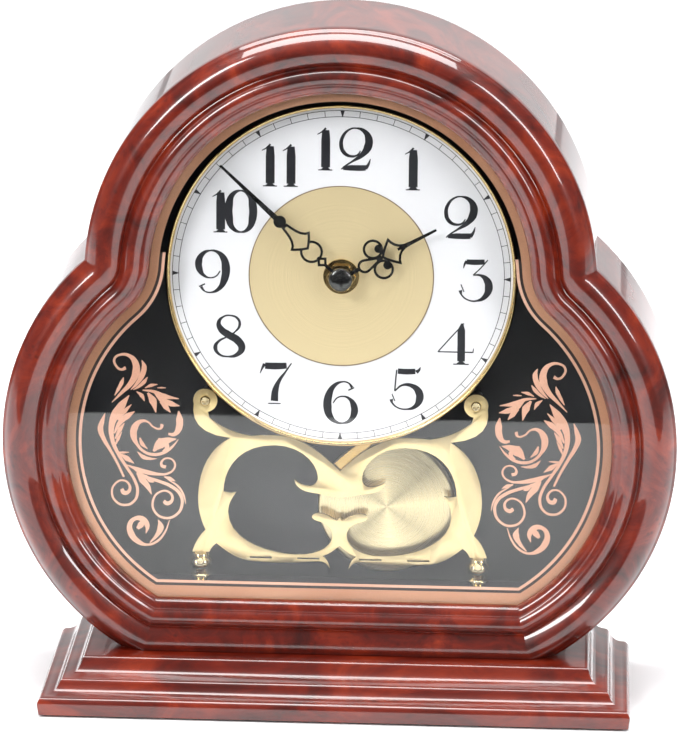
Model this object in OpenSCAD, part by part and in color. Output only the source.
/* [Case] */
// Width of the clock across its two side lobes
case_w = 300; // [285:1:340]
// Radius of the top lobe
top_r = 113; // [106:1:120]
// Radius of each side lobe
side_r = 112; // [106:1:118]
// Height of the dial's centre above the table
dial_z = 193.5; // [190:0.5:200]
// Rise of the top lobe's centre above the dial's centre
top_rise = 0.9; // [0:0.1:3]
// Drop of the side lobes' centres below the dial's centre
side_drop = 75.5; // [70:0.5:80]
// Depth of the case hoop behind the front frame
hoop_depth = 60; // [56:1:72]
// Thickness of the bent plywood hoop
hoop_t = 8; // [6:0.5:10]

/* [Front frame] */
// Width of the moulded frame, outer edge to sight edge
frame_w = 29; // [28:0.5:30]
// Height of the frame's outer edge over its back
frame_edge_h = 6.3; // [5.5:0.1:8]
// Rise of the two beads over the outer edge
bead_rise = 6.3; // [4:0.1:8]
// Distance of the groove between the beads from the outer edge
groove_u = 16.2; // [14:0.1:17]
// How far the frame's lower edge is trimmed where it meets the plinth
frame_trim = 5.3; // [3:0.1:7]
// Depth of the rebate that holds the glass
rebate_d = 5.6; // [4.6:0.1:5.9]
// Width of the rebate that holds the glass
rebate_w = 5; // [4:0.1:6]

/* [Plinth] */
// Height of the wooden plinth with its felt
plinth_h = 23; // [20:0.5:30]
// How far the plinth's flat top reaches past the foot of the case on each side
plinth_over = 13.68; // [8:0.01:22]
// Distance from the plinth's front edge at the top to the frame's outer edge
plinth_lead = 13.2; // [9:0.1:18]
// How far the moulding steps out from top to bottom
plinth_step = 20.6; // [14:0.1:26]
// Thickness of the felt sheet under the plinth
felt_t = 1; // [0.6:0.1:2]
// Diameter of the screws that hold the case to the plinth
base_screw_d = 4; // [3:0.5:5]

/* [Glass] */
// Thickness of the glass
glass_t = 2; // [1.6:0.1:2.4]
// Clearance between the glass and its rebate
glass_gap = 0.4; // [0.2:0.1:1]

/* [Dial] */
// Radius of the dial plate
dial_r = 76.6; // [70:0.1:78]
// Thickness of the dial plate
dial_t = 1.2; // [0.8:0.1:1.8]
// Radius of the gold centre disc
centre_r = 40.8; // [30:0.1:50]
// Radial width of the bezel ring
bezel_w = 1.5; // [1:0.1:2]
// Distance from the frame's back to the dial's face
dial_setback = 7; // [6.5:0.1:9]

/* [Hands] */
// Length of the minute hand
minute_len = 73.5; // [62:0.5:74.5]
// Length of the hour hand
hour_len = 47.8; // [42:0.1:54]
// Thickness of each hand
hand_t = 0.5; // [0.4:0.05:0.8]
// Angle of the minute hand from twelve, clockwise
minute_angle = -46.6; // [-180:0.1:180]
// Angle of the hour hand from twelve, clockwise
hour_angle = 61.4; // [-180:0.1:180]
// Diameter of the cap on the hands
cap_d = 10.6; // [8:0.1:12]

/* [Ornament and pendulum] */
// Thickness of the pierced ornament plate
plate_t = 1.4; // [1:0.1:1.8]
// Distance from the dial's face back to the front of the plate
plate_setback = 3; // [2.6:0.1:4]
// Diameter of the pendulum bob
bob_d = 62; // [50:1:64]
// Drop of the pendulum's pivot below the dial's centre
pivot_drop = 27; // [25:0.5:30]
// Distance from the pivot to the bob's centre
rod_len = 84; // [78:0.5:86]
// Swing of the pendulum from the vertical in the stored pose
swing = 14.4; // [0:0.1:15]

/* [Movement] */
// Width and height of the gear chamber
move_w = 58; // [56:1:62]
// Depth of the movement
move_d = 15; // [14.8:0.1:15.4]
// Wall of the movement's two shells
move_wall = 1.2; // [1:0.1:1.6]
// Diameter of the battery
cell_d = 14.2; // [13.6:0.1:14.4]
// Length of the battery's can
cell_l = 49.2; // [48:0.1:50]
// Radial clearance of a turning piece on its shaft
run_gap = 0.08; // [0.04:0.01:0.1]

/* [Back] */
// Thickness of the black inner board and the back panel
board_t = 3; // [2.4:0.1:4]
// Width of the rear door
door_w = 92; // [84:1:96]
// Height of the rear door
door_h = 84; // [80:1:92]
// Clearance all round the door
door_gap = 0.8; // [0.5:0.1:1.5]
// How far the back panel is sunk into the hoop
panel_sink = 3; // [2.8:0.1:5]

/* [Hidden] */

$fn = 48;
eps = 0.01;

// ---- places along the depth, front is -Y ----
depth_all = plinth_step + plinth_lead + frame_edge_h + hoop_depth;
front_y = -depth_all / 2;
back_y = depth_all / 2;
frame_back_y = back_y - hoop_depth;
dial_y = frame_back_y + dial_setback;
plate_y = dial_y + plate_setback;
dial_back_y = dial_y + dial_t;
move_y = dial_back_y + 3;
board_y = move_y + move_d + 0.6;
panel_y = back_y - board_t - panel_sink;

// ---- outline of the case ----
side_x = case_w / 2 - side_r;
top_z = dial_z + top_rise;
side_z = dial_z - side_drop;
rail_z = plinth_h - frame_trim;

// Where the top lobe and a side lobe cross
lobe_d = norm([side_x, side_z - top_z]);
lobe_u = [side_x, side_z - top_z] / lobe_d;
lobe_t = (top_r * top_r - side_r * side_r + lobe_d * lobe_d) / (2 * lobe_d);
lobe_h = sqrt(top_r * top_r - lobe_t * lobe_t);
notch = [lobe_t * lobe_u.x - lobe_h * lobe_u.y, top_z + lobe_t * lobe_u.y + lobe_h * lobe_u.x];
notch_top_a = atan2(notch.y - top_z, notch.x);
notch_side_a = atan2(notch.y - side_z, notch.x - side_x);

// Half width of the side lobe's outline of radius r at height z
function side_reach(r, z) = side_x + sqrt(r * r - (side_z - z) * (side_z - z));
plinth_top_w = 2 * (side_reach(side_r, plinth_h) + plinth_over);
plinth_side = plinth_top_w / 2 + plinth_step;

// Outer and inner corner of the mitre at the bottom rail
mitre_out = [side_reach(side_r, rail_z), rail_z];
mitre_in = [side_reach(side_r - frame_w, rail_z + frame_w), rail_z + frame_w];

// Points of an arched stretch between two points
function arch(a, b, rise, n = 8) = [for (i = [0:n]) let (t = i / n,
  d = (b - a) / norm(b - a)) a + (b - a) * t + [-d.y, d.x] * rise * 4 * t * (1 - t)];

// Points of a cubic curve between a and d, without its first point
function bend(a, b, c, d, n = 6) = [for (i = [1:n]) let (t = i / n, s = 1 - t)
  a * s * s * s + b * 3 * s * s * t + c * 3 * s * t * t + d * t * t * t];

// The point at radius r and angle a
function polar(r, a) = r * [cos(a), sin(a)];

// Puts a drawing of the front view, extruded forward, at depth y
module facing(y) translate([0, y, 0]) rotate([90, 0, 0]) children();

// A plate in the front view whose front face is at y
module plate(y, t) facing(y + t) linear_extrude(t) children();

// The trefoil in the front view, moved in by u, flat at height z
module trefoil(u, z) {
  intersection() {
    union() {
      translate([0, top_z]) circle(top_r - u, $fn = 96);
      for (s = [-1, 1]) translate([s * side_x, side_z]) circle(side_r - u, $fn = 96);
    }
    translate([-case_w, z]) square([2 * case_w, 2 * case_w]);
  }
}

// A countersunk screw in the front view: head towards the front, its face at the origin
module screw(head_d, head_h, shank_d, shank_l) {
  rotate([-90, 0, 0]) difference() {
    union() {
      cylinder(d1 = head_d * 0.8, d2 = head_d, h = head_h * 0.4, $fn = 24);
      translate([0, 0, head_h * 0.4]) cylinder(d = head_d, h = head_h * 0.6, $fn = 24);
      translate([0, 0, head_h]) cylinder(d = shank_d, h = shank_l, $fn = 20);
    }
    for (a = [0, 90]) rotate(a) translate([-head_d * 0.3, -head_d * 0.07, -eps])
      cube([head_d * 0.6, head_d * 0.14, head_h * 0.45]);
  }
}

// ---- plinth ----
cove = 1.7;
arris = 0.7;
screw_gap = 0.2;
pilot_gap = 0.1;
plinth_top_y = front_y + plinth_step;
body_h = plinth_h - felt_t;
plinth_edge = concat(
  [[0, body_h]],
  arch([0.2, body_h], [plinth_step * 0.1, body_h * 0.95], arris / 2, 4),
  arch([plinth_step * 0.1, body_h * 0.95], [plinth_step * 0.42, body_h * 0.65], -cove),
  arch([plinth_step * 0.42, body_h * 0.65], [plinth_step * 0.56, body_h * 0.54], arris, 4),
  arch([plinth_step * 0.56, body_h * 0.54], [plinth_step * 0.88, body_h * 0.37], -cove * 0.7),
  arch([plinth_step * 0.88, body_h * 0.37], [plinth_step, body_h * 0.22], arris, 4),
  [[plinth_step * 0.97, 0]]);
base_screw_x = 70;
base_screw_y = [frame_back_y + 12, back_y - 14];
base_head_h = 3;
head_pocket = 8;
base_screw_l = body_h - head_pocket + hoop_t - 1;

module base_screws(gap) {
  for (x = [-base_screw_x, base_screw_x], y = base_screw_y)
    translate([x, y, felt_t]) {
      translate([0, 0, gap > 0 ? -eps : head_pocket - base_head_h])
        cylinder(d = 2 * base_screw_d + 2 * gap, h = gap > 0 ? head_pocket + eps : base_head_h);
      translate([0, 0, head_pocket - eps])
        cylinder(d = base_screw_d + 2 * gap, h = base_screw_l);
    }
}

module plinth() {
  color([0.42, 0.09, 0.05]) difference() {
    translate([0, 0, felt_t]) intersection() {
      translate([-plinth_side, 0, 0]) rotate([90, 0, 90])
        linear_extrude(2 * plinth_side)
          polygon(concat([for (p = plinth_edge) [plinth_top_y - p.x, p.y]],
            [[back_y, 0], [back_y, body_h]]));
      translate([0, back_y, 0]) rotate([90, 0, 0])
        linear_extrude(depth_all)
          polygon(concat([for (p = plinth_edge) [plinth_top_w / 2 + p.x, p.y]],
            [for (i = [len(plinth_edge) - 1:-1:0])
              [-plinth_top_w / 2 - plinth_edge[i].x, plinth_edge[i].y]]));
    }
    base_screws(screw_gap);
  }
}

module felt_sheet() {
  felt_in = 3;
  color([0.12, 0.12, 0.12])
    translate([felt_in - plinth_side, front_y + felt_in, 0])
      cube([2 * (plinth_side - felt_in), depth_all - 2 * felt_in, felt_t]);
}

module plinth_screws() {
  color([0.7, 0.7, 0.72]) base_screws(0);
}

// ---- case ----
// The back rebate in the hoop leaves a ledge that the back panel rests on
ledge_w = 5;
fit_gap = 0.4;
module case_hoop() {
  color([0.45, 0.1, 0.06]) difference() {
    facing(back_y) difference() {
      linear_extrude(hoop_depth) trefoil(0, plinth_h);
      translate([0, 0, -1]) linear_extrude(hoop_depth + 2) trefoil(hoop_t, plinth_h + hoop_t);
      translate([0, 0, -1]) linear_extrude(panel_sink + board_t + 1)
        trefoil(hoop_t - ledge_w, plinth_h + hoop_t - ledge_w);
    }
    base_screws(screw_gap);
    for (p = panel_screw_spots) translate([p.x, panel_y - panel_bite, p.y]) rotate([-90, 0, 0])
      cylinder(d = panel_screw_d + pilot_gap, h = panel_bite + board_t, $fn = 20);
  }
}

// ---- front frame ----
// Height of the glass's front over the frame's back, and the moulding's section
lip_h = rebate_d;
groove_h = frame_edge_h + bead_rise * 0.5;
inner_u = frame_w - 4.4;
inner_h = frame_edge_h + bead_rise * 0.62;
frame_section = concat(
  [[0, 0], [0, frame_edge_h - 1], [0.3, frame_edge_h - 0.3]],
  arch([1, frame_edge_h], [groove_u - 0.7, groove_h], bead_rise * 0.72, 12),
  [[groove_u, groove_h - 0.5]],
  arch([groove_u + 0.7, groove_h + 0.1], [inner_u, inner_h], bead_rise * 0.4),
  arch([inner_u + 0.1, inner_h], [frame_w, lip_h + 0.6], 1.1, 6),
  [[frame_w, lip_h], [frame_w - rebate_w, lip_h], [frame_w - rebate_w, 0]]);

// The section swept round a centre, from angle a0 to a1, its outer edge at radius r
module frame_arc(c, r, a0, a1) {
  translate(c) rotate_extrude(angle = a1 - a0, start = a0, $fn = 96)
    polygon([for (p = frame_section) [r - p.x, p.y]]);
}

// At the notches the moulding turns about the notch point itself
module frame_turn(s) {
  a0 = s > 0 ? notch_top_a - 180 : -notch_top_a;
  a1 = s > 0 ? notch_side_a - 180 : -notch_side_a;
  translate([s * notch.x, notch.y]) rotate_extrude(angle = a1 - a0, start = a0, $fn = 96)
    polygon([for (p = frame_section) [p.x, p.y]]);
}

// Everything on the rail's side of the two mitres, or beside them
module mitre_wedge() {
  lean = (mitre_in - mitre_out) / norm(mitre_in - mitre_out);
  far = 3 * frame_w;
  linear_extrude(4 * frame_w, center = true)
    polygon([mitre_out - lean * far, mitre_out + lean * far,
      [-(mitre_out + lean * far).x, (mitre_out + lean * far).y],
      [-(mitre_out - lean * far).x, (mitre_out - lean * far).y]]);
}

// The frame is glued up from moulded lengths that meet face to face
wood = [0.5, 0.12, 0.06];
module clip_pilots() {
  for (c = clip_spots) translate([c.x, c.y, -1]) cylinder(d = clip_screw_d + pilot_gap,
    h = clip_bite + 1.2, $fn = 20);
}

module frame_top() {
  color(wood) facing(frame_back_y) difference() {
    frame_arc([0, top_z], top_r, notch_top_a, 180 - notch_top_a);
    clip_pilots();
  }
}

module frame_corners() {
  color(wood) facing(frame_back_y) for (s = [-1, 1]) frame_turn(s);
}

module above_plinth() {
  translate([-case_w, plinth_h, -1]) cube([2 * case_w, 2 * case_w, 4 * frame_w]);
}

module frame_sides() {
  color(wood) facing(frame_back_y) intersection() {
    difference() {
      union() {
        frame_arc([side_x, side_z], side_r, -75, notch_side_a);
        frame_arc([-side_x, side_z], side_r, 180 - notch_side_a, 255);
      }
      mitre_wedge();
      clip_pilots();
    }
    above_plinth();
  }
}

module frame_rail() {
  color(wood) facing(frame_back_y) intersection() {
    difference() {
      translate([-case_w / 2, 0, 0]) rotate([90, 0, 90]) linear_extrude(case_w)
        polygon([for (p = frame_section) [rail_z + p.x, p.y]]);
      clip_pilots();
    }
    mitre_wedge();
    above_plinth();
  }
}

// ---- glass ----
sight_wall_u = frame_w - rebate_w;
glass_y = frame_back_y - lip_h;
module glass() {
  color([0.8, 0.9, 0.9, 0.35]) plate(glass_y, glass_t)
    trefoil(sight_wall_u + glass_gap, rail_z + sight_wall_u + glass_gap);
}

// Small turn plates on the frame's back that hold the glass, given by angle on the top lobe
// or by a place on the rail
clip_t = 0.8;
clip_l = 16;
clip_w = 8;
clip_screw_d = 2.2;
clip_heel = 3.5;
clip_head_d = 4;
clip_head_h = 1.2;
clip_in = 4;
clip_bite = 4;
clip_spots = concat(
  [for (a = [40, 90, 140]) let (p = [0, top_z] + polar(top_r - sight_wall_u + clip_in, a))
    [p.x, p.y, a]],
  [for (s = [-1, 1]) [s * (side_x + side_r - sight_wall_u + clip_in), side_z, s > 0 ? 0 : 180]],
  [for (x = [-40, 40]) [x, rail_z + sight_wall_u - clip_in, 270]]);

module clip_flat(hole) {
  for (c = clip_spots) translate([c.x, c.y]) rotate(c.z) difference() {
    translate([-clip_l * 0.72, -clip_w / 2]) square([clip_l, clip_w]);
    circle(d = hole, $fn = 24);
  }
}

module glass_clips() {
  color([0.75, 0.7, 0.55]) plate(frame_back_y, clip_t) clip_flat(clip_screw_d + 0.2);
  color([0.2, 0.2, 0.2]) plate(glass_y + glass_t, frame_back_y - glass_y - glass_t)
    for (c = clip_spots) translate([c.x, c.y]) rotate(c.z)
      translate([-clip_l * 0.72, -clip_w / 2]) square([clip_heel, clip_w]);
}

module clip_screws() {
  color([0.7, 0.65, 0.5]) for (c = clip_spots)
    translate([c.x, frame_back_y + clip_t + clip_head_h, c.y]) rotate([0, 0, 180])
      screw(clip_head_d, clip_head_h, clip_screw_d, clip_t + clip_bite);
}

// ---- black inner board, blocks and floor ----
window_x = 27.5;
window_low = 28;
window_high = 36;
module inner_board() {
  color([0.03, 0.03, 0.035]) plate(board_y, board_t) difference() {
    trefoil(hoop_t + fit_gap, plinth_h + hoop_t + fit_gap);
    translate([-window_x, dial_z - window_low]) square([2 * window_x, window_low + window_high]);
    for (p = post_spots) translate(p) circle(d = post_screw_d + 0.4, $fn = 24);
  }
}

block = 14;
block_curve_gap = 1.4;
module board_blocks() {
  color([0.75, 0.6, 0.42])
    for (a = [35, 90, 145]) translate([0, 0, top_z]) rotate([0, -a, 0])
      translate([top_r - hoop_t - block, board_y + board_t, -block])
        cube([block - block_curve_gap, block, 2 * block]);
  color([0.75, 0.6, 0.42])
    for (s = [-1, 1]) translate([s * side_x, 0, side_z]) rotate([0, s > 0 ? 10 : 170, 0])
      translate([side_r - hoop_t - block, board_y + board_t, -block])
        cube([block - block_curve_gap, block, 2 * block]);
}

floor_top = dial_z - 146;
floor_t = 3;
floor_y = frame_back_y + 1;
module inner_floor() {
  w = side_reach(side_r - hoop_t, floor_top - floor_t) - 1;
  color([0.03, 0.03, 0.035])
    translate([-w, floor_y, floor_top - floor_t]) cube([2 * w, board_y - floor_y, floor_t]);
}

// ---- dial ----
neck_d = 8;
module dial_plate() {
  color([0.92, 0.91, 0.93]) plate(dial_y, dial_t) difference() {
    translate([0, dial_z]) circle(dial_r, $fn = 96);
    translate([0, dial_z]) circle(d = neck_d + 0.2);
  }
}

disc_t = 0.2;
module centre_disc() {
  color([0.86, 0.8, 0.62]) plate(dial_y - disc_t, disc_t) translate([0, dial_z]) difference() {
    circle(centre_r, $fn = 96);
    circle(d = neck_d + 0.6);
  }
}

bezel_front = 1.6;
bezel_gap = 0.1;
module dial_bezel() {
  r = dial_r + bezel_gap;
  color([0.85, 0.7, 0.4]) facing(dial_back_y) translate([0, dial_z])
    rotate_extrude($fn = 96) polygon(concat(
      [[r, 0], [r + bezel_w, 0]],
      arch([r + bezel_w, dial_t], [r - 0.8, dial_t + 0.15], -bezel_front, 8),
      [[r - 0.8, dial_t + 0.05], [r, dial_t + 0.05]]));
}

// Four posts carry the dial plate on the inner board
post_r = 66;
post_d = 6;
post_screw_d = 3;
post_nut_d = 5.5;
post_nut_t = 1.8;
post_spots = [for (a = [28, 152, 208, 332]) [0, dial_z] + polar(post_r, a)];
module dial_posts() {
  color([0.8, 0.8, 0.82]) for (p = post_spots) {
    plate(dial_back_y, board_y - dial_back_y) translate(p) circle(d = post_d);
    plate(board_y - eps, board_t + post_screw_d) translate(p) circle(d = post_screw_d, $fn = 24);
    plate(board_y + board_t, post_nut_t) translate(p) circle(d = post_nut_d, $fn = 6);
  }
}

// ---- pierced ornament ----
ear = [-60.5, -59.2];
ear_r = 5.4;
ear_hole = 2.6;
foot_x = 62.5;
foot_w = 4.8;
foot_z = -130;
foot_l = 5.4;
foot_screw_z = foot_z - 3.2;
foot_hole = 2;
slit = [10, 0.7];
slit_z = -132;
ornament_edge = concat([[eps, -90.7]],
  bend([0, -90.7], [-5, -86], [-12, -79], [-20, -76.6]),
  bend([-20, -76.6], [-26, -74], [-34, -74.6], [-40, -75.2]),
  bend([-40, -75.2], [-46, -74.4], [-53, -72], [-58.6, -67.2]),
  [[ear.x + 1, ear.y - ear_r + 0.4], [ear.x - ear_r + 0.3, ear.y - 1]],
  bend([ear.x - ear_r + 0.3, ear.y - 1], [-67, -68], [-64, -75], [-49.3, -76.4]),
  bend([-49.3, -76.4], [-58, -81], [-63.5, -91], [-63.7, -104], 8),
  bend([-63.7, -104], [-63.8, -110], [-62.5, -115], [-60.3, -119.6]),
  bend([-60.3, -119.6], [-63, -122], [-65.3, -126], [-66.3, foot_z], 4),
  [[-foot_x - foot_w / 2, foot_z], [-foot_x - foot_w / 2, foot_z - foot_l],
    [-foot_x + foot_w / 2, foot_z - foot_l], [-foot_x + foot_w / 2, foot_z], [-58.6, foot_z]],
  bend([-58.6, foot_z], [-58.2, -128.5], [-57, -126.8], [-55.4, -125.8], 3),
  bend([-55.4, -125.8], [-51, -129.5], [-47, -132.6], [-41, -133.6], 5),
  bend([-41, -133.6], [-30, -134.6], [-20, -134.2], [-9.5, -133.2], 5),
  bend([-9.5, -133.2], [-7, -133], [-5.2, -134.6], [-4.2, -136.6], 4),
  bend([-4.2, -136.6], [-4.6, -133.5], [-6, -131.5], [-7.6, -130.7], 4),
  bend([-7.6, -130.7], [-4.5, -129.8], [-2.5, -128], [eps, -125.7], 4),
  [[eps, -112.6], [-1.3, -113.9]],
  bend([-1.3, -113.9], [-4, -112.6], [-6, -110.6], [-9.5, -110.6], 5),
  bend([-9.5, -110.6], [-11.5, -110.6], [-12.8, -111.5], [-12.4, -112.8], 4),
  bend([-12.4, -112.8], [-11.5, -114.2], [-9.5, -114.3], [-7.8, -115], 4),
  bend([-7.8, -115], [-5, -116], [-2.8, -118.5], [-3.2, -121.5], 5),
  bend([-3.2, -121.5], [-3.8, -126.5], [-9.5, -130.2], [-19, -130.2], 7),
  bend([-19, -130.2], [-33, -130.2], [-49.8, -124], [-50.2, -111], 9),
  bend([-50.2, -111], [-50.2, -107], [-48.5, -104.5], [-46.6, -101.6], 4),
  [[-49, -102], [-52.3, -101.4]],
  bend([-52.3, -101.4], [-52.3, -92], [-46.5, -79.3], [-29, -79.3], 9),
  bend([-29, -79.3], [-18, -79.3], [-10, -87], [-9.9, -94], 7),
  bend([-9.9, -94], [-9.9, -96], [-11.2, -97.8], [-13.5, -97.9], 4),
  bend([-13.5, -97.9], [-16.5, -97.9], [-18.5, -96.8], [-20.4, -95.2], 4),
  bend([-20.4, -95.2], [-20.2, -98], [-17.5, -100.6], [-12.5, -101.1], 5),
  bend([-12.5, -101.1], [-8, -101.5], [-5, -102.9], [eps, -103], 4));

module ornament_half() {
  difference() {
    union() {
      polygon(ornament_edge);
      translate(ear) circle(ear_r);
    }
    translate(ear) circle(d = ear_hole);
    translate([-foot_x, foot_screw_z]) circle(d = foot_hole, $fn = 24);
    for (x = [-35.5, -14]) translate([x, slit_z]) square(slit, center = true);
  }
}

module ornament_plate() {
  color([0.9, 0.82, 0.6]) plate(plate_y, plate_t) translate([0, dial_z]) {
    ornament_half();
    mirror([1, 0]) ornament_half();
  }
}

// Turned feet, slotted for the plate
pillar_r = 4.7;
pillar_h = 15.4;
slot_gap = 0.15;
pillar_edge = concat([[0, 0], [pillar_r + 1, 0], [pillar_r + 1, 0.9], [pillar_r - 0.5, 1.4]],
  arch([pillar_r - 1.4, 1.8], [pillar_r - 1.4, 4], 0.5, 4),
  arch([pillar_r - 1.1, 4.4], [pillar_r - 1.1, 6.6], -1, 6),
  [[pillar_r - 1.6, 7], [pillar_r - 1.6, 8.2], [pillar_r - 0.6, 8.6]],
  arch([pillar_r - 0.6, 8.8], [pillar_r - 0.9, 13.4], -0.8, 8),
  [[pillar_r - 1.6, 13.9], [pillar_r - 1, 14.3], [pillar_r - 1.4, pillar_h], [0, pillar_h]]);
pillar_y = plate_y + plate_t / 2;
foot_seat = 3.6;
foot_screw_d = 1.8;
foot_head_d = 3.4;
foot_head_h = 1.2;
ear_head_d = 4.6;
ear_head_h = 1.6;
ear_screw_l = 10;
post_tube_d = 5;

module ornament_pillars() {
  color([0.85, 0.75, 0.5]) for (s = [-1, 1]) difference() {
    translate([s * foot_x, pillar_y, floor_top]) rotate_extrude() polygon(pillar_edge);
    translate([s * foot_x - 8, plate_y - slot_gap, dial_z + foot_z - foot_l - slot_gap])
      cube([16, plate_t + 2 * slot_gap, 12]);
    translate([s * foot_x, pillar_y - 8, dial_z + foot_screw_z]) rotate([-90, 0, 0]) {
      cylinder(d = foot_hole, h = 8 + foot_head_h + 2);
      cylinder(d = foot_head_d + 2 * slot_gap, h = 8 - foot_seat);
    }
  }
}

// Tubes behind the ears, between the plate and the inner board
module ornament_posts() {
  color([0.8, 0.8, 0.82]) for (s = [-1, 1])
    plate(plate_y + plate_t, board_y - plate_y - plate_t)
      translate([s * ear.x, dial_z + ear.y]) difference() {
        circle(d = post_tube_d);
        circle(d = ear_hole, $fn = 24);
      }
}

module ornament_screws() {
  color([0.95, 0.9, 0.75]) for (s = [-1, 1]) {
    translate([s * ear.x, plate_y - ear_head_h, dial_z + ear.y])
      screw(ear_head_d, ear_head_h, ear_hole - 2 * slot_gap, ear_screw_l);
    translate([s * foot_x, pillar_y - foot_seat - foot_head_h, dial_z + foot_screw_z])
      screw(foot_head_d, foot_head_h, foot_screw_d, foot_seat + 2);
  }
}

strip_t = 0.8;
strip_w = 4.6;
strip_l = 34;
strip_lean = 43;
strip_foot = [-1, -89.4];
module brass_strip() {
  color([0.8, 0.68, 0.42]) plate(plate_y + plate_t, strip_t)
    translate([strip_foot.x, dial_z + strip_foot.y]) rotate(strip_lean) difference() {
      translate([0, -strip_w / 2]) square([strip_l, strip_w]);
      rotate(45) translate([-8, -4]) square([5.6, 8]);
    }
}

// ---- movement shells ----
// Depths inside the movement are counted back from its front face
module at_depth(d) translate([0, move_y + d, dial_z]) rotate([-90, 0, 0]) mirror([0, 1, 0])
  children();
gear_low = 20;
bay_low = 18;
bay_high = bay_low + cell_d + 2 * move_wall + 1;
chamber_low = pivot_drop + 17;
chamber_w = 32;
lever_slot = 20;
set_spot = [-19.75, -3.7];
cover_t = move_wall;
lever_slot_depth = 2.2;
lever_slot_h = 9;

module move_outline(in) {
  translate([-move_w / 2 + in, -gear_low + in])
    square([move_w - 2 * in, gear_low + bay_high - 2 * in]);
  translate([-chamber_w / 2 + in, -chamber_low + in])
    square([chamber_w - 2 * in, chamber_low - gear_low + 2 * move_wall + eps]);
}

neck_l = move_y - dial_y + 3.2;
neck_bore = 5.4;
module movement_front() {
  color([0.15, 0.15, 0.16]) difference() {
    union() {
      at_depth(0) linear_extrude(move_d - cover_t) move_outline(0);
      at_depth(-neck_l) cylinder(d = neck_d, h = neck_l + 1);
    }
    at_depth(cover_t) linear_extrude(move_d) intersection() {
      move_outline(move_wall);
      translate([-move_w, -2 * move_w]) square([2 * move_w, 2 * move_w + bay_low - move_wall / 2]);
    }
    at_depth(0.1) translate([-move_w / 2 + move_wall, bay_low + move_wall / 2])
      cube([move_w - 2 * move_wall, bay_high - bay_low - 1.5 * move_wall, move_d]);
    at_depth(-neck_l - 1) cylinder(d = neck_bore, h = neck_l + cover_t + 2);
    at_depth(lever_slot_depth) translate([-lever_slot / 2, -chamber_low - 1])
      cube([lever_slot, move_wall + 2, lever_slot_h]);
  }
}

module movement_back() {
  color([0.2, 0.2, 0.21]) at_depth(move_d - cover_t) linear_extrude(cover_t) difference() {
    intersection() {
      move_outline(0);
      translate([-move_w, -2 * move_w]) square([2 * move_w, 2 * move_w + bay_low]);
    }
    translate(set_spot) circle(d = set_d + 0.4);
    for (p = cover_spots) translate(p) circle(d = cover_screw_d + screw_gap);
  }
}

cover_spots = [[-25, -16], [25, -16], [-25, 14], [25, 14]];
cover_screw_d = 1.6;
cover_screw_l = 8;
cover_head_d = 3.2;
cover_head_h = 1;
module movement_screws() {
  color([0.7, 0.7, 0.7]) {
    for (p = cover_spots) {
      at_depth(move_d - cover_screw_l) translate([p.x, p.y, 0])
        cylinder(d = cover_screw_d, h = cover_screw_l);
      at_depth(move_d) translate([p.x, p.y, 0]) cylinder(d = cover_head_d, h = cover_head_h);
    }
  }
}

module rubber_washer() {
  color([0.1, 0.1, 0.1]) plate(dial_back_y, move_y - dial_back_y) translate([0, dial_z])
    difference() {
      circle(d = rubber_d);
      circle(d = neck_d + 2 * neck_gap);
    }
}

rubber_d = 22;
washer_d = 16;
nut_d = 13;
neck_gap = 0.1;
washer_t = 0.8;
washer_y = dial_y - disc_t - washer_t;
nut_t = 2;
module dial_washer() {
  color([0.85, 0.68, 0.35]) plate(washer_y, washer_t) translate([0, dial_z])
    difference() {
      circle(d = washer_d);
      circle(d = neck_d + 2 * neck_gap);
    }
}

module dial_nut() {
  color([0.85, 0.68, 0.35]) plate(washer_y - nut_t, nut_t) translate([0, dial_z])
    difference() {
      circle(d = nut_d, $fn = 6);
      circle(d = neck_d + neck_gap / 2);
    }
}

// ---- electrical pieces ----
rotor_spot = [16.4, 8.1];
rotor_r = 3;
rotor_h = 2.2;
rotor_depth = 8.8;
stator_t = 0.8;
stator_depth = rotor_depth + (rotor_h - stator_t) / 2 + 0.1;
coil_spot = [-16, 12];
coil_l = 18;
coil_r = 3.6;
coil_core_r = 1.3;
winding_r = 2.9;
cheek_t = 1;
coil_depth = stator_depth + stator_t / 2;
circuit_spot = [-22.5, -18.2];
circuit_size = [20, 9, 0.8];
circuit_depth = 11.6;
module circuit_board() {
  color([0.1, 0.35, 0.2]) at_depth(circuit_depth) translate(circuit_spot)
    cube(circuit_size);
}

module motor_coil() {
  color([0.72, 0.35, 0.15]) at_depth(coil_depth) translate(coil_spot) rotate([0, 90, 0])
    rotate_extrude() polygon([[coil_core_r, 0], [coil_r, 0], [coil_r, cheek_t], [winding_r, cheek_t],
      [winding_r, coil_l - cheek_t], [coil_r, coil_l - cheek_t], [coil_r, coil_l],
      [coil_core_r, coil_l]]);
}

// A U of thin iron round the rotor, one leg through the coil
module stator() {
  color([0.6, 0.6, 0.62]) at_depth(stator_depth) linear_extrude(stator_t) {
    translate([coil_spot.x - 2, coil_spot.y - stator_t])
      square([coil_l + rotor_spot.x + 3.6, 2 * stator_t]);
    difference() {
      translate(rotor_spot - [5.4, 5.4]) square([10.8, 10]);
      translate(rotor_spot) circle(r = rotor_r + 0.7);
    }
  }
}

module battery() {
  color([0.2, 0.35, 0.6]) at_depth(move_d / 2) translate([-cell_l / 2, (bay_low + bay_high) / 2, 0])
    rotate([0, 90, 0]) union() {
      cylinder(d = cell_d, h = cell_l - 0.6);
      cylinder(d = 5.5, h = cell_l + 0.7);
    }
}

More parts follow.
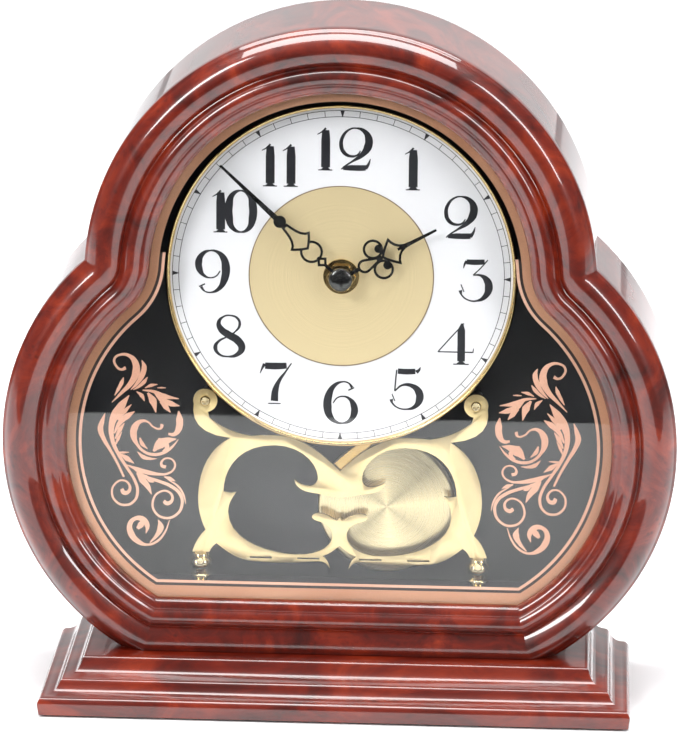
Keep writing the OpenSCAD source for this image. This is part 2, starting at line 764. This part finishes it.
contact_t = 0.4;
contact_w = 10;
contact_h = 9;
contact_gap = 0.1;
spring_room = (move_w - 2 * move_wall - cell_l) / 2 - contact_t - contact_gap;
module battery_contacts() {
  z = (bay_low + bay_high) / 2;
  color([0.85, 0.85, 0.85]) {
    for (x = [move_w / 2 - move_wall - contact_gap - contact_t, -move_w / 2 + move_wall + contact_gap])
      at_depth((move_d - contact_h) / 2) translate([x, z - contact_w / 2, 0])
        cube([contact_t, contact_w, contact_h]);
    at_depth(move_d / 2) translate([-move_w / 2 + move_wall + contact_t, z, 0]) rotate([0, 90, 0])
      rotate_extrude() polygon(concat(
        [for (i = [0:6]) [3.4 + (i % 2) * 0.8, spring_room * i / 6]],
        [for (i = [6:-1:0]) [2.9 + (i % 2) * 0.8, spring_room * i / 6]]));
  }
}

pulse_d = 11;
pulse_h = 3;
pulse_bore = 3;
pulse_depth = 10.4;
magnet_d = 5.2;
magnet_drop = 9;
module pulse_coil() {
  color([0.72, 0.35, 0.15]) at_depth(pulse_depth) translate([0, -pivot_drop - magnet_drop, 0])
    difference() {
      cylinder(d = pulse_d, h = pulse_h);
      translate([0, 0, -1]) cylinder(d = pulse_bore, h = pulse_h + 2);
    }
}

pin_d = 1.6;
module pivot_pin() {
  color([0.8, 0.8, 0.82]) at_depth(cover_t) translate([0, -pivot_drop, 0])
    cylinder(d = pin_d, h = move_d - 2 * cover_t);
}

// ---- going train and motion work ----
// Module of each mesh, and the tooth counts
m_set = 0.4;
m_hour = m_set * (12 + 36) / (10 + 40);
m_train = 0.3;
m_fourth = 0.25;

// A spur gear with loose teeth; turn is the angle of one tooth
module gear(teeth, m, h, turn, bore = 0) {
  r = m * teeth / 2;
  a = 360 / teeth;
  difference() {
    linear_extrude(h) polygon([for (i = [0:teeth - 1]) for (q = [[-0.24, -1.1], [-0.16, 0],
      [-0.06, 0.75], [0.06, 0.75], [0.16, 0], [0.24, -1.1]])
      (r + q.y * m) * [cos(turn + (i + q.x) * a), sin(turn + (i + q.x) * a)]]);
    if (bore > 0) translate([0, 0, -1]) cylinder(d = bore, h = h + 2, $fn = 24);
  }
}

// Turn of a gear of nb teeth that meshes with one of na teeth turned by ta, which it
// lies from in direction a
function mate(a, na, ta, nb) = a + 180 - 360 / nb * (0.5 + (ta - a) * na / 360);
motion_a = 180;
motion_spot = polar(m_set * (12 + 36) / 2, motion_a);
set_a = atan2(set_spot.y - motion_spot.y, set_spot.x - motion_spot.x);
third_a = -50;
third_spot = polar(m_train * (60 + 8) / 2, third_a);
fourth_a = 40;
fourth_spot = third_spot + polar(m_train * (64 + 8) / 2, fourth_a);
motion_turn = mate(motion_a, 12, motion_a, 36);
hour_turn = mate(motion_a + 180, 10, motion_turn, 40);
set_turn = mate(set_a, 36, motion_turn, 18);
third_turn = mate(third_a, 60, third_a, 8);
fourth_turn = mate(fourth_a, 64, third_turn, 8);
gear_t = 0.8;
pinion_over = 0.1;
arbor_d = 1.2;
arbor_depth = cover_t + 0.2;
arbor_l = move_d - cover_t - 0.2 - arbor_depth;
rotor_pin_depth = 2.6;
motion_depth = 2.9;
cannon_depth = motion_depth - 0.1;
minute_depth = 4.4;
third_depth = 5.8;
fourth_depth = 7.4;
hour_depth = 1.6;
set_d = 2;
pipe_d = 4.8;
minute_d = 3;
hour_y = washer_y - nut_t - hand_t - 0.7;
minute_y = hour_y - hand_t - 1.2;

module rotor() {
  color([0.35, 0.35, 0.38]) {
    at_depth(rotor_depth) translate(rotor_spot) cylinder(r = rotor_r, h = rotor_h);
    at_depth(rotor_pin_depth) translate(rotor_spot)
      cylinder(d = 1, h = move_d - cover_t - 0.4 - rotor_pin_depth);
  }
}

module fourth_wheel() {
  color([0.9, 0.9, 0.88]) {
    at_depth(fourth_depth) translate(fourth_spot) gear(60, m_fourth, gear_t, fourth_turn);
    at_depth(third_depth - 0.2) translate(fourth_spot)
      gear(8, m_train, fourth_depth - third_depth + 0.2 + pinion_over, fourth_turn);
    at_depth(arbor_depth) translate(fourth_spot) cylinder(d = arbor_d, h = arbor_l);
  }
}

module third_wheel() {
  color([0.9, 0.9, 0.88]) {
    at_depth(third_depth) translate(third_spot) gear(64, m_train, gear_t, third_turn);
    at_depth(minute_depth - 0.2) translate(third_spot)
      gear(8, m_train, third_depth - minute_depth + 0.2 + pinion_over, third_turn);
    at_depth(arbor_depth) translate(third_spot) cylinder(d = arbor_d, h = arbor_l);
  }
}

module minute_arbor() {
  color([0.85, 0.75, 0.5]) {
    at_depth(minute_depth) gear(60, m_train, gear_t, third_a);
    at_depth(cannon_depth) gear(12, m_set, minute_depth - cannon_depth + pinion_over, motion_a);
    plate(minute_y - 1, move_y + minute_depth + gear_t - minute_y + 1) translate([0, dial_z])
      circle(d = minute_d);
  }
}

module motion_wheel() {
  color([0.9, 0.9, 0.88]) {
    at_depth(motion_depth) translate(motion_spot) gear(36, m_set, gear_t, motion_turn);
    at_depth(arbor_depth) translate(motion_spot)
      gear(10, m_hour, motion_depth - arbor_depth + pinion_over, motion_turn);
    at_depth(arbor_depth - pinion_over) translate(motion_spot) cylinder(d = arbor_d, h = motion_depth);
  }
}

module hour_wheel() {
  color([0.9, 0.9, 0.88]) {
    at_depth(hour_depth) gear(40, m_hour, gear_t, hour_turn, minute_d + 2 * run_gap);
    plate(hour_y - 0.4, move_y + hour_depth + gear_t - pinion_over - hour_y + 0.4)
      translate([0, dial_z]) difference() {
        circle(d = pipe_d);
        circle(d = minute_d + 2 * run_gap);
      }
  }
}

module setting_arbor() {
  color([0.85, 0.75, 0.5]) {
    at_depth(cannon_depth) translate(set_spot) gear(18, m_set, gear_t + 0.2, set_turn);
    at_depth(arbor_depth) translate(set_spot) cylinder(d = set_d, h = move_d + arbor_depth);
  }
}

knob_d = 8.4;
knob_h = 3.6;
knob_lift = 0.6;
knob_ribs = 18;
module setting_knob() {
  color([0.85, 0.85, 0.86]) at_depth(move_d + knob_lift) translate(set_spot) difference() {
    union() {
      cylinder(d = knob_d, h = knob_h);
      for (i = [1:knob_ribs]) rotate(i * 360 / knob_ribs) translate([knob_d / 2, 0, 0])
        cylinder(d = 0.9, h = knob_h, $fn = 16);
    }
    translate([0, 0, -1]) cylinder(d = set_d, h = 2 * arbor_depth + 1 - knob_lift);
  }
}

// ---- hands, drawn pointing up from the hub ----
rib = 1.1;
module ring(r, w = rib) {
  difference() {
    circle(r);
    circle(r - w);
  }
}

module outline_of(points, w = rib) {
  difference() {
    polygon(points);
    offset(delta = -w) polygon(points);
  }
}

// A kite: a V towards the hub, two side corners and hollow sides up to the neck
function kite(v, corner, half, neck, neck_half) = let (right = concat(
  bend([0, v], [half * 0.4, v + 1.6], [half * 0.8, corner - 1.6], [half, corner], 4),
  bend([half, corner], [half * 0.4, corner + 1], [neck_half * 1.4, neck - 4],
    [neck_half, neck], 5)))
  concat([[0, v]], right, [for (i = [len(right) - 1:-1:0]) [-right[i].x, right[i].y]]);

hub_r = 4.6;
module minute_shape() {
  k = minute_len / 73.5;
  circle(hub_r);
  translate([-0.75, 0]) square([1.5, 9.6 * k]);
  translate([0, 11.3 * k]) rotate(45) difference() {
    square(4, center = true);
    square(4 - 2 * rib, center = true);
  }
  translate([-0.6, 13.2 * k]) square([1.2, 1]);
  difference() {
    translate([0, 17.8 * k]) ring(5.1);
    polygon(kite(19.4 * k, 24.8 * k, 6.2, 34.6 * k, 1.6));
  }
  outline_of(kite(19.4 * k, 24.8 * k, 6.2, 34.6 * k, 1.6));
  translate([0, 37.2 * k]) circle(2.8);
  polygon([[-1.3, 38 * k], [1.3, 38 * k], [0.55, minute_len], [-0.55, minute_len]]);
}

module hour_shape() {
  k = hour_len / 47.8;
  kite_points = kite(20.4 * k, 27 * k, 6.8, 34 * k, 0.8);
  circle(hub_r);
  translate([-0.9, 0]) square([1.8, 9.4 * k]);
  difference() {
    union() {
      translate([0, 12 * k]) circle(3.2);
      polygon([[-3.1, 12.8 * k], [3.1, 12.8 * k], [0.8, 20.8 * k], [-0.8, 20.8 * k]]);
    }
    translate([0, 12 * k]) circle(3.2 - rib);
    polygon([[-2, 12.8 * k], [2, 12.8 * k], [0.3, 18 * k], [-0.3, 18 * k]]);
  }
  for (s = [-1, 1]) difference() {
    union() {
      translate([s * 5.1, 18.8 * k]) ring(4.5);
      translate([s * 4.2, 21.2 * k]) circle(1.9);
    }
    polygon(kite_points);
  }
  outline_of(kite_points);
  polygon([[-0.6, 28.5 * k], [0.6, 28.5 * k], [1, 34 * k], [-1, 34 * k]]);
  polygon([[-0.9, 33 * k], [0.9, 33 * k], [0.55, hour_len], [-0.55, hour_len]]);
}

module hand(y, angle, bore) {
  plate(y, hand_t) translate([0, dial_z]) rotate(-angle) difference() {
    children();
    circle(d = bore);
  }
}

module minute_hand() {
  color([0.04, 0.04, 0.04]) hand(minute_y, minute_angle, minute_d) minute_shape();
}

module hour_hand() {
  color([0.04, 0.04, 0.04]) hand(hour_y, hour_angle, pipe_d) hour_shape();
}

cap_h = 2.8;
module hand_cap() {
  color([0.05, 0.05, 0.05]) facing(minute_y) translate([0, dial_z]) rotate_extrude()
    polygon(concat([[0, 1.1], [minute_d / 2, 1.1], [minute_d / 2, 0], [cap_d / 2, 0],
      [cap_d / 2, 0.9]],
      bend([cap_d / 2, 0.9], [cap_d / 2, 2.2], [cap_d / 3, cap_h], [0, cap_h], 8)));
}

// ---- pendulum, drawn hanging from its pivot, then swung to its stored place ----
lever_d = 4;
lever_t = 3;
lever_l = 23;
lever_hub_d = 6;
bob_nut_d = 6;
bob_nut_t = 2.2;
rod_w = 3;
rod_t = 0.8;
bob_t = 5;
bob_y = plate_y + plate_t + 3.4;
rod_y = bob_y + bob_t - rod_t - 0.6;
lever_y = rod_y - lever_t;

// Things in the front view about the pivot, swung to the stored pose
module swung() translate([0, dial_z - pivot_drop]) rotate(swing) children();

module pendulum_lever() {
  color([0.9, 0.9, 0.88]) plate(lever_y, lever_t) swung() difference() {
    union() {
      circle(d = lever_hub_d);
      translate([-lever_d / 2, -lever_l]) square([lever_d, lever_l]);
      translate([0, -magnet_drop]) circle(d = magnet_d + 2.4);
    }
    circle(d = pin_d + 2 * run_gap);
    translate([0, -magnet_drop]) circle(d = magnet_d);
  }
}

module drive_magnet() {
  color([0.5, 0.5, 0.52]) plate(lever_y, lever_t) swung() translate([0, -magnet_drop])
    circle(d = magnet_d);
}

rod_top = lever_l - 4;
module pendulum_rod() {
  color([0.82, 0.7, 0.42]) plate(lever_y + lever_t, rod_t) swung()
    translate([-rod_w / 2, -rod_len - 8]) square([rod_w, rod_len + 8 - rod_top]);
}

// A spun dish, its front a shallow cone with a rolled edge
module pendulum_bob() {
  color([0.85, 0.75, 0.48]) translate([0, 0, dial_z - pivot_drop]) rotate([0, -swing, 0])
    translate([0, 0, -rod_len]) facing(rod_y) rotate_extrude($fn = 96)
      polygon(concat([[0, 0], [bob_d / 2 - 2, 0], [bob_d / 2, 0.8]],
        arch([bob_d / 2, 1], [bob_d / 2 - 1.6, 2.4], -0.4, 4),
        arch([bob_d / 2 - 2, 2.3], [1.2, bob_t - 1.6], -0.3, 8),
        [[0, bob_t - 1.4]]));
}

module bob_nut() {
  color([0.8, 0.68, 0.4]) plate(lever_y + lever_t + rod_t, bob_nut_t) swung()
    translate([0, -rod_len]) circle(d = bob_nut_d, $fn = 6);
}

// ---- back panel and door ----
door_z = dial_z + 4;
hinge_x = door_w / 2 + door_gap / 2;
knuckle_d = 2.6;
hinge_pin_d = 1.2;
hinge_y = panel_y + board_t + knuckle_d / 2 + 0.1;
hinge_zs = [door_z - door_h / 2 + 14, door_z + door_h / 2 - 14];
hinge_l = 15;
leaf_w = 9;
leaf_in = 1.1;
leaf_t = 0.5;
panel_u = hoop_t - ledge_w + fit_gap;

panel_screw_d = 2.6;
panel_bite = 8;
panel_screw_u = 5.9;
panel_screw_spots = concat(
  [for (a = [20, 65, 115, 160]) [0, top_z] + polar(top_r - panel_screw_u, a)],
  [for (a = [10, -40]) [side_x, side_z] + polar(side_r - panel_screw_u, a)],
  [for (a = [170, 220]) [-side_x, side_z] + polar(side_r - panel_screw_u, a)],
  [for (x = [-45, 45]) [x, plinth_h + panel_screw_u]]);

module back_panel() {
  color([0.06, 0.05, 0.05]) plate(panel_y, board_t) difference() {
    trefoil(panel_u, plinth_h + panel_u);
    translate([-door_w / 2 - door_gap, door_z - door_h / 2 - door_gap])
      square([door_w + 2 * door_gap, door_h + 2 * door_gap]);
    for (p = panel_screw_spots) translate(p) circle(d = panel_screw_d + 0.4);
    for (i = [-3:3], k = [0:2]) translate([i * 8, dial_z - 68 - k * 8]) circle(d = 3.4);
  }
}

module panel_screws() {
  color([0.75, 0.65, 0.4]) for (p = panel_screw_spots)
    translate([p.x, panel_y + board_t + 1.4, p.y]) rotate([0, 0, 180])
      screw(5.4, 1.4, panel_screw_d, board_t + panel_bite - 0.2);
}

module hinge_part(side, spans) {
  difference() {
    union() {
      for (z = hinge_zs) translate([0, 0, z - hinge_l / 2]) {
        translate([side > 0 ? leaf_in : -leaf_w, hinge_y - knuckle_d / 2 - 0.1, 0])
          translate([-hinge_x, 0, 0]) cube([leaf_w - leaf_in, leaf_t, hinge_l]);
        for (p = spans) translate([-hinge_x, hinge_y, p.x * hinge_l]) {
          cylinder(d = knuckle_d, h = p.y * hinge_l);
          translate([side > 0 ? 0 : -1.2, -knuckle_d / 2 - 0.1, 0])
            cube([1.2, knuckle_d / 2, p.y * hinge_l]);
        }
      }
    }
    for (z = hinge_zs) translate([-hinge_x, hinge_y, z - hinge_l])
      cylinder(d = hinge_pin_d + (side > 0 ? 2 * run_gap : 0), h = 2 * hinge_l);
  }
}

module panel_hinges() {
  color([0.8, 0.65, 0.35]) hinge_part(-1, [[0, 0.3], [0.7, 0.3]]);
}

module door_hinges() {
  color([0.8, 0.65, 0.35]) hinge_part(1, [[0.32, 0.36]]);
}

module hinge_pins() {
  color([0.6, 0.6, 0.62]) for (z = hinge_zs)
    translate([-hinge_x, hinge_y, z - hinge_l / 2]) cylinder(d = hinge_pin_d, h = hinge_l);
}

module rear_door() {
  color([0.07, 0.06, 0.06]) plate(panel_y, board_t)
    translate([-door_w / 2, door_z - door_h / 2]) square([door_w, door_h]);
}

knob_x = door_w / 2 - 9;
module door_knob() {
  color([0.85, 0.7, 0.4]) translate([knob_x, panel_y + board_t, door_z]) rotate([-90, 0, 0])
    cylinder(d1 = 6, d2 = 8, h = panel_sink - 0.2);
}

module catch_magnet() {
  color([0.3, 0.3, 0.32]) translate([knob_x + 2, panel_y - 5.2, door_z - 6]) cube([6, 4, 12]);
  color([0.3, 0.3, 0.32])
    translate([knob_x + 8, panel_y - 5.2, door_z - 8]) cube([9, 5.2, 16]);
}

plinth();
felt_sheet();
plinth_screws();
case_hoop();
frame_top();
frame_corners();
frame_sides();
frame_rail();
glass();
glass_clips();
clip_screws();
inner_board();
board_blocks();
inner_floor();
dial_plate();
centre_disc();
dial_bezel();
dial_posts();
brass_strip();
ornament_plate();
ornament_pillars();
ornament_posts();
ornament_screws();
movement_front();
movement_back();
movement_screws();
rubber_washer();
dial_washer();
dial_nut();
circuit_board();
motor_coil();
stator();
battery();
battery_contacts();
pulse_coil();
pivot_pin();
rotor();
fourth_wheel();
third_wheel();
minute_arbor();
minute_hand();
hand_cap();
motion_wheel();
hour_wheel();
hour_hand();
setting_arbor();
setting_knob();
pendulum_lever();
drive_magnet();
pendulum_rod();
pendulum_bob();
bob_nut();
back_panel();
panel_screws();
panel_hinges();
hinge_pins();
rear_door();
door_hinges();
door_knob();
catch_magnet();
